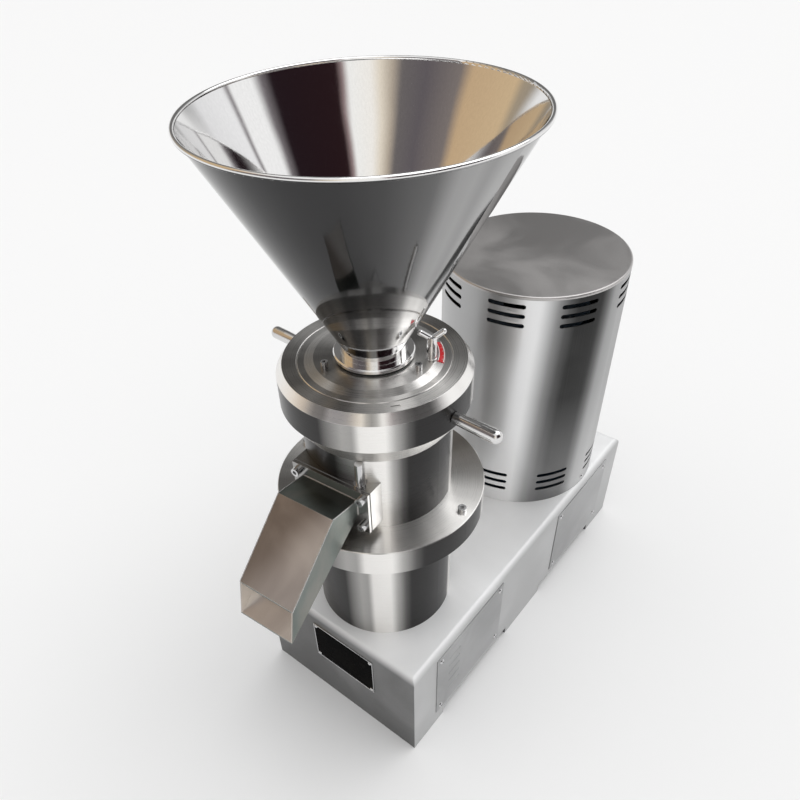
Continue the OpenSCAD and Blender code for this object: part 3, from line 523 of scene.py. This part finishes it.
def cut_along(piece, axis, length, cuts):
    """Cuts a piece into even slices along one of its axes."""
    bpy.ops.object.mode_set(mode="EDIT")
    bpy.ops.mesh.select_mode(type="EDGE")
    bpy.ops.mesh.select_all(action="DESELECT")
    shape = bmesh.from_edit_mesh(piece.data)
    for edge in shape.edges:
        edge.select = abs(edge.verts[0].co[axis] - edge.verts[1].co[axis]) > length / 2
    bmesh.update_edit_mesh(piece.data)
    bpy.ops.mesh.subdivide(number_cuts=cuts)
    bpy.ops.object.mode_set(mode="OBJECT")


def weld_bead(name, start, end, radius, place, material, body):
    """A rippled bead of weld between two points, set in place on its body."""
    along = end - start
    ripple_pitch = 0.0012
    bpy.ops.object.select_all(action="DESELECT")
    bpy.ops.mesh.primitive_cylinder_add(
        vertices=10, radius=radius, depth=along.length, end_fill_type="TRIFAN"
    )
    piece = bpy.context.object
    piece.name = name
    cut_along(piece, 2, along.length, int(along.length / ripple_pitch))
    clouds = bpy.data.textures.new(name, "CLOUDS")
    clouds.noise_scale = radius * 1.6
    ripple = piece.modifiers.new("ripple", "DISPLACE")
    ripple.texture = clouds
    ripple.strength = radius * 0.5
    bpy.ops.object.modifier_apply(modifier=ripple.name)
    turn = along.to_track_quat("Z", "Y").to_matrix().to_4x4()
    bead_place = place @ Matrix.Translation((start + end) / 2) @ turn
    finish_piece(piece, bead_place, material, body, rounding=radius * 0.1)


dress(folded_sheet(), "chute")
dress(milled_steel(), "outlet_block", "chute_plate")
at_outlet = Matrix.Translation(mill) @ Matrix.Rotation(outlet_turn, 4, "Z")
gasket = open_frame("chute_gasket", gasket_size, gasket_border)
gasket_place = at_outlet @ Matrix.Translation((0, -outlet_front, outlet_z))
gasket_fibre = moulded_plastic("gasket fibre", dark=(0.1, 0.098, 0.095), light=(0.2, 0.196, 0.19))
finish_piece(gasket, gasket_place, gasket_fibre, "frame", rounding=0.0002)
welded = weld_steel()
root = -outlet_front - plate_t
roof_left, roof_right = (Vector((x, root, roof_z)) for x in (-chute_half, chute_half))
floor_left, floor_right = (Vector((x, root, floor_z)) for x in (-chute_half, chute_half))
bead_runs = {
    "roof": (roof_left, roof_right),
    "right": (roof_right, floor_right),
    "left": (roof_left, floor_left),
    "floor": (floor_left, floor_right),
}
for run, (start, end) in bead_runs.items():
    weld_bead("chute_weld_" + run, start, end, bead_r, at_outlet, welded, "frame")

# Painted highlight: thin bright steel beads along the duct's upper edges give the bright line on its folds.
for name, x in (("right", chute_half), ("left", -chute_half)):
    corners = [
        Vector((x, root, roof_z)),
        Vector((x, -roof_bend.x, roof_bend.y)),
        Vector((x, -roof_end.x, roof_end.y)),
    ]
    for part, (start, end) in enumerate(zip(corners, corners[1:])):
        highlight_bead_name = f"chute_edge_highlight_{name}_{part}"
        weld_bead(highlight_bead_name, start, end, highlight_bead_r, at_outlet, fastener_steel, "frame")

# Handles: two bars turned from stainless rod with domed ends and polished along their length.
# They are screwed into the adjusting ring, and the ring is turned by them.


def polished_bar():
    material, tree, shader = blank("handle steel", metallic=1.0)
    brushing = grained(tree, (60.0, 1500.0, 1500.0), detail=4.0)
    wiped = wiping(tree, size=11.0)
    tone = blend_tones(tree, brushing, wiped, share=0.5)
    paint(tree, shader, tone, dark=(0.55, 0.545, 0.54), light=(0.88, 0.875, 0.87))
    gloss(tree, shader, brushing, low=0.12, high=0.2)
    relief(tree, shader, brushing, depth=0.00002)
    return material


dress(polished_bar(), "handle_right", "handle_left")

# Scale strip: red enamel on the feed disc's slope beside the lock screw, with a white line along both edges
# and short white marks to read the milling gap by.

slope_edge = Vector((0.088, 0.643))
slope_run = Vector((0.012, 0.003))
slope_lean = atan2(slope_run.y, slope_run.x)
strip_t = 0.0009
strip_start = 24.0
strip_sweep = 30.0
line_w = 0.0013
line_t = 0.0003
line_steps = 24
mark_reach = 0.086
mark_count = 5
mark_first = 3.0
mark_pitch = 6.0
mark_sweep = 0.35
mark_steps = 2
long_mark = 0.002
short_mark = 0.0013


def enamel(name, dark, light):
    material, tree, shader = blank(name, metallic=0.0)
    wiped = wiping(tree, size=60.0)
    peel = grained(tree, (900.0, 900.0, 900.0), detail=1.0)
    paint(tree, shader, wiped, dark, light)
    gloss(tree, shader, wiped, low=0.22, high=0.38)
    relief(tree, shader, peel, depth=0.00002)
    return material


white_line = enamel("white enamel", dark=(0.72, 0.69, 0.67), light=(0.86, 0.84, 0.82))
red_enamel = enamel("red enamel", dark=(0.6, 0.01, 0.016), light=(0.74, 0.022, 0.03))
dress(red_enamel, "scale_strip")


def strip_line(name, reach, width, start, sweep, steps):
    """A painted line on the strip: an edge that leans with the slope, spun round the mill's axis."""
    height = slope_edge.y + (slope_edge.x - reach) * slope_run.y / slope_run.x + strip_t
    bpy.ops.object.select_all(action="DESELECT")
    bpy.ops.mesh.primitive_plane_add(size=width, location=(reach, 0, height), rotation=(0, slope_lean, 0))
    piece = bpy.context.object
    piece.name = name
    bpy.ops.object.transform_apply(location=True, rotation=True, scale=True)
    bpy.ops.object.mode_set(mode="EDIT")
    bpy.ops.mesh.select_mode(type="VERT")
    bpy.ops.mesh.select_all(action="DESELECT")
    shape = bmesh.from_edit_mesh(piece.data)
    for vert in shape.verts:
        vert.select = vert.co.y < 0
    bmesh.update_edit_mesh(piece.data)
    bpy.ops.mesh.delete(type="VERT")
    bpy.ops.mesh.select_all(action="SELECT")
    bpy.ops.mesh.spin(steps=steps, angle=-radians(sweep), center=(0, 0, 0), axis=(0, 0, 1))
    bpy.ops.mesh.select_all(action="SELECT")
    bpy.ops.mesh.remove_doubles(threshold=0.00001)
    bpy.ops.mesh.normals_make_consistent(inside=False)
    bpy.ops.object.mode_set(mode="OBJECT")
    thick = piece.modifiers.new("thickness", "SOLIDIFY")
    thick.thickness = line_t
    thick.offset = 0.0
    bpy.ops.object.modifier_apply(modifier=thick.name)
    place = Matrix.Translation(mill) @ Matrix.Rotation(radians(start), 4, "Z")
    finish_piece(piece, place, white_line, "seat", rounding=0.00005)


for name, reach in (("strip_edge_outer", 0.0867), ("strip_edge_inner", 0.0802)):
    strip_line(name, reach, line_w, strip_start, strip_sweep, line_steps)
for mark in range(mark_count):
    start = strip_start + mark_first + mark_pitch * mark
    length = long_mark if mark % 2 == 0 else short_mark
    strip_line(f"strip_mark_{mark}", mark_reach - length / 2, length, start, mark_sweep, mark_steps)

# Hopper: a rolled cone of thin stainless sheet with a wired rim and one welded seam, polished to a mirror, on
# a turned collar with a black rubber seal under it. The outside carries painted reflections: dark and bright
# bands by the angle round the axis, with bands of their own on the neck. The lock screw has the same polish.

cone_lean = -0.48
painted_cone_reflections = [
    (-180, 0.1), (-150, 0.3), (-128, 0.2), (-112, 0.1), (-104, 0.55), (-92, 0.6), (-84, 0.24),
    (-62, 0.035), (-36, 0.03), (-8, 0.05), (4, 0.075), (18, 0.15), (25, 0.36), (31, 0.38), (36, 0.29),
    (42, 0.34), (52, 0.3), (60, 0.08), (68, 0.08), (78, 0.3), (90, 0.22), (108, 0.08), (128, 0.22),
    (150, 0.07), (180, 0.1),
]
painted_neck_reflections = [
    (-180, 0.1), (-60, 0.02), (-42, 0.02), (-26, 0.24), (-12, 0.4), (0, 0.34), (16, 0.44), (26, 0.5),
    (33, 0.7), (54, 0.6), (62, 0.3), (80, 0.1), (180, 0.1),
]
neck_top = 0.8
neck_foot = 0.67
cone_seam_turn = radians(112)
cone_seam_foot = Vector((0.0424, 0, 0.669))
cone_seam_top = Vector((0.1815, 0, 0.927))
cone_seam_r = 0.0008


def mirror_polish(name, outside):
    material, tree, shader = blank(name, metallic=1.0)
    waves = grained(tree, (9.0, 9.0, 5.0), detail=1.0)
    scratches = grained(tree, (500.0, 500.0, 30.0), detail=4.0)
    tone = spread(tree, scratches, 0.0, 1.0, 0.84, 0.96)
    if outside:
        # Painted reflections: bands by the angle round the axis on the cone's outside, and other bands on its
        # neck.
        round_axis = {"Centre": mill, "Turn": front_turn, "Lean": cone_lean}
        rolled = use(tree, bands_effect("painted cone reflections", painted_cone_reflections), round_axis)
        painted_neck_bands = use(tree, bands_effect("painted neck reflections", painted_neck_reflections), round_axis)["Tone"]
        necked = ease(tree, split(tree, surface(tree)["Object"])["Z"], neck_top, neck_foot)
        painted_outside_bands = reckon(tree, "MULTIPLY_ADD", painted_neck_bands, necked, rolled["Tone"])
        tone = blend_tones(tree, tone, painted_outside_bands, share=rolled["Mask"])
    paint(tree, shader, tone, dark=(0.01, 0.0098, 0.011), light=(0.92, 0.915, 0.91))
    gloss(tree, shader, scratches, low=0.03, high=0.1)
    relief(tree, shader, waves, depth=0.0035)
    return material


def black_rubber():
    material, tree, shader = blank("black rubber", metallic=0.0)
    grit = grained(tree, (1100.0, 1100.0, 1100.0), detail=3.0)
    paint(tree, shader, grit, dark=(0.006, 0.006, 0.006), light=(0.018, 0.018, 0.018))
    gloss(tree, shader, grit, low=0.5, high=0.75)
    relief(tree, shader, grit, depth=0.00008)
    return material


rubber = black_rubber()
dress(mirror_polish("hopper polish", outside=True), "hopper")
dress(mirror_polish("collar polish", outside=False), "hopper_collar", "lock_screw", "lock_wings")
dress(rubber, "hopper_seal")
at_seam = Matrix.Translation(mill) @ Matrix.Rotation(cone_seam_turn, 4, "Z")
weld_bead(
    "hopper_seam", cone_seam_foot, cone_seam_top, cone_seam_r, at_seam, welded, "seat"
)

# Drive: an enamelled motor stands on the base with its shaft down, and turns the mill by three rubber belts
# on cast iron pulleys inside the base. Dark zinc plated bolts and washers hold the motor, the bearing
# housing and the pulleys.

motor = Vector((0.0, 0.24868, 0.0))


def cast_pulley():
    material, tree, shader = blank("cast pulley", metallic=1.0)
    cast = grained(tree, (420.0, 420.0, 420.0), detail=4.0)
    paint(tree, shader, cast, dark=(0.05, 0.05, 0.052), light=(0.15, 0.152, 0.155))
    gloss(tree, shader, cast, low=0.4, high=0.62)
    relief(tree, shader, cast, depth=0.0001)
    return material


def motor_enamel():
    material, tree, shader = blank("motor enamel", metallic=0.0)
    peel = grained(tree, (300.0, 300.0, 300.0), detail=2.0)
    wiped = wiping(tree, size=12.0)
    paint(tree, shader, wiped, dark=(0.03, 0.055, 0.085), light=(0.05, 0.085, 0.125))
    gloss(tree, shader, wiped, low=0.32, high=0.48)
    relief(tree, shader, peel, depth=0.00008)
    return material


dress(rubber, "belts")
dress(cast_pulley(), "driven_pulley", "drive_pulley")
dress(motor_enamel(), "motor_flange", "motor_frame", "terminal_box", "fan_cowl")
fan_plastic = moulded_plastic("fan plastic", dark=(0.02, 0.021, 0.022), light=(0.05, 0.052, 0.055))
dress(fan_plastic, "motor_fan")
dress(
    turned_steel("dark zinc", motor, dark=(0.12, 0.12, 0.125), light=(0.3, 0.302, 0.305), painted_reflection_share=0.4),
    "motor_shaft", "housing_bolts", "motor_bolts", "driven_washer", "drive_washer",
)

# Motor cover: a slotted shell rolled from satin sheet, lapped and welded at the back, closed by a pressed
# lid and held by small screws. Its broad upright bands, twisting a little with the height, are painted
# reflections.

cover_r = 0.147
cover_turn = (72 + 180) / 360
painted_cover_reflections = [
    (-180, 0.3), (-150, 0.1), (-120, 0.35), (-95, 0.2), (-62, 0.5), (-42, 0.45), (-22, 0.4), (-8, 0.75),
    (4, 0.98), (12, 0.92), (17, 0.6), (22, 0.28), (28, 0.09), (34, 0.015), (50, 0.01), (55, 0.12),
    (61, 0.36), (72, 0.42), (84, 0.3), (105, 0.3), (135, 0.1), (180, 0.3),
]
twist_rate = -0.05
twist_z = 0.42
fade_top = 0.43
fade_foot = 0.2
lap_turn = radians(74.3)
lap_size = (0.0009, 0.012, 0.409)
lap_z = 0.4045
lap_cuts = 7


def cover_sheet():
    material, tree, shader = blank("cover sheet", metallic=1.0)
    brushing = grained(tree, (900.0, 900.0, 8.0), detail=3.0)
    wiped = wiping(tree, size=4.0)
    height = split(tree, surface(tree)["Object"])["Z"]
    twist = reckon(tree, "MULTIPLY_ADD", height, twist_rate, cover_turn - twist_rate * twist_z)
    # Painted reflections: upright bands by the angle round the motor, twisting with the height, made lighter
    # towards the bottom.
    rolled = use(tree, bands_effect("painted cover reflections", painted_cover_reflections), {"Centre": motor, "Turn": twist})["Tone"]
    painted_shading = reckon(tree, "ADD", rolled, spread(tree, height, fade_top, fade_foot, 0.0, 0.2))
    tone = blend_tones(tree, blend_tones(tree, painted_shading, brushing, share=0.02), wiped, share=0.02)
    paint(tree, shader, tone, dark=(0.014, 0.0138, 0.0135), light=(0.92, 0.922, 0.925))
    gloss(tree, shader, brushing, low=0.3, high=0.42)
    relief(tree, shader, brushing, depth=0.00003, edge=0.0008)
    return material


def lid_sheet():
    material, tree, shader = blank("lid sheet", metallic=1.0)
    beads = grained(tree, (900.0, 900.0, 900.0), detail=3.0)
    wiped = wiping(tree, size=7.0)
    tone = blend_tones(tree, beads, wiped, share=0.5)
    paint(tree, shader, tone, dark=(0.4, 0.388, 0.382), light=(0.58, 0.566, 0.56))
    gloss(tree, shader, wiped, low=0.32, high=0.42)
    relief(tree, shader, beads, depth=0.00003, edge=0.0008)
    return material


def curved_lap(name):
    """A strip of the cover's sheet, cut across its width and bent to the cover's round."""
    piece = sheet_block(name, lap_size)
    cut_along(piece, 1, lap_size[1], lap_cuts)
    bpy.ops.object.mode_set(mode="EDIT")
    shape = bmesh.from_edit_mesh(piece.data)
    for vert in shape.verts:
        vert.co.x -= cover_r - (cover_r**2 - vert.co.y**2) ** 0.5
    bmesh.update_edit_mesh(piece.data)
    bpy.ops.object.mode_set(mode="OBJECT")
    return piece


shell_steel = cover_sheet()
dress(shell_steel, "cover_wall")
dress(lid_sheet(), "cover_lid")
at_lap = Matrix.Translation(motor) @ Matrix.Rotation(lap_turn, 4, "Z")
lap_place = at_lap @ Matrix.Translation((cover_r, 0, lap_z))
finish_piece(curved_lap("cover_lap"), lap_place, shell_steel, "frame", rounding=0.0004)

# Studio: a pale floor, a room whose walls show in the polish, a broad soft light from high up on the right,
# and the camera where the photographer stood.

floor_size = 60.0
bpy.ops.object.select_all(action="DESELECT")
bpy.ops.mesh.primitive_plane_add(size=floor_size)
floor = bpy.context.object
floor.name = "floor"
floor_paint, floor_tree, floor_shader = blank("floor paint", metallic=0.0)
floor_shader["Base Color"].default_value = (0.9, 0.9, 0.9, 1)
floor_shader["Roughness"].default_value = 0.9
floor.data.materials.append(floor_paint)

room_colors = [
    (-180, (0.4, 0.33, 0.24)), (-172, (0.66, 0.49, 0.3)), (-137, (0.6, 0.43, 0.26)),
    (-128, (0.22, 0.19, 0.18)), (-100, (0.13, 0.115, 0.125)), (-82, (0.16, 0.145, 0.145)),
    (-75, (0.5, 0.43, 0.35)), (-66, (0.85, 0.77, 0.65)), (-58, (1.0, 0.97, 0.92)),
    (-41, (1.0, 1.0, 0.98)), (-36, (0.3, 0.22, 0.22)), (-31, (0.022, 0.01, 0.012)),
    (20, (0.018, 0.01, 0.013)), (27, (0.2, 0.18, 0.19)), (33, (1.0, 1.0, 1.0)), (52, (1.0, 1.0, 1.0)),
    (55, (0.2, 0.18, 0.19)), (58, (0.95, 0.95, 0.96)), (84, (0.85, 0.85, 0.86)), (97, (0.3, 0.3, 0.3)),
    (112, (0.16, 0.16, 0.16)), (150, (0.18, 0.175, 0.17)), (166, (0.34, 0.3, 0.25)),
    (180, (0.4, 0.33, 0.24)),
]
pale = (0.9, 0.9, 0.9, 1)
ceiling = (1.0, 1.0, 1.0, 1)
even = (0.78, 0.78, 0.78, 1)
wall_low, wall_high = 0.1, 0.22
ceiling_low, ceiling_high = 0.7, 0.88


def blend_colors(tree, first, second, share):
    """Mixes two colours, with the second one's share of the whole."""
    return node(tree, "Mix", {0: share, 6: first, 7: second}, data_type="RGBA").outputs[2]


world = bpy.data.worlds.new("room")
bpy.context.scene.world = world
world.use_nodes = True
room = world.node_tree
toward = split(room, node(room, "TexCoord", {}).outputs["Generated"])
walls = node(room, "ValToRGB", {0: turns_round(room, toward, 0.5)})
fill_ramp(walls, room_colors)
walled = blend_colors(room, pale, walls.outputs[0], share=ease(room, toward["Z"], wall_low, wall_high))
roofed = blend_colors(room, walled, ceiling, share=ease(room, toward["Z"], ceiling_low, ceiling_high))
rays = node(room, "LightPath", {}).outputs
lit = blend_colors(room, roofed, even, share=rays["Is Diffuse Ray"])
seen = blend_colors(room, lit, pale, share=rays["Is Camera Ray"])
room.links.new(seen, room.nodes["Background"].inputs["Color"])

lamp = bpy.data.lights.new("soft light", "SUN")
lamp.energy = 1.0
lamp.angle = radians(60)
lamp_holder = bpy.data.objects.new("soft light", lamp)
lamp_holder.rotation_euler = (radians(28), 0, radians(160))
bpy.context.scene.collection.objects.link(lamp_holder)

lens = bpy.data.cameras.new("camera")
lens.sensor_width = 36.0
lens.lens = 32.105
lens.shift_x = 0.03555
lens.shift_y = 0.07686
camera = bpy.data.objects.new("camera", lens)
camera.location = (0.48426, -0.72070, 1.14438)
camera.rotation_euler = (radians(47.489), radians(2.606), radians(39.187))
bpy.context.scene.collection.objects.link(camera)
bpy.context.scene.camera = camera
bpy.context.scene.view_settings.view_transform = "Standard"
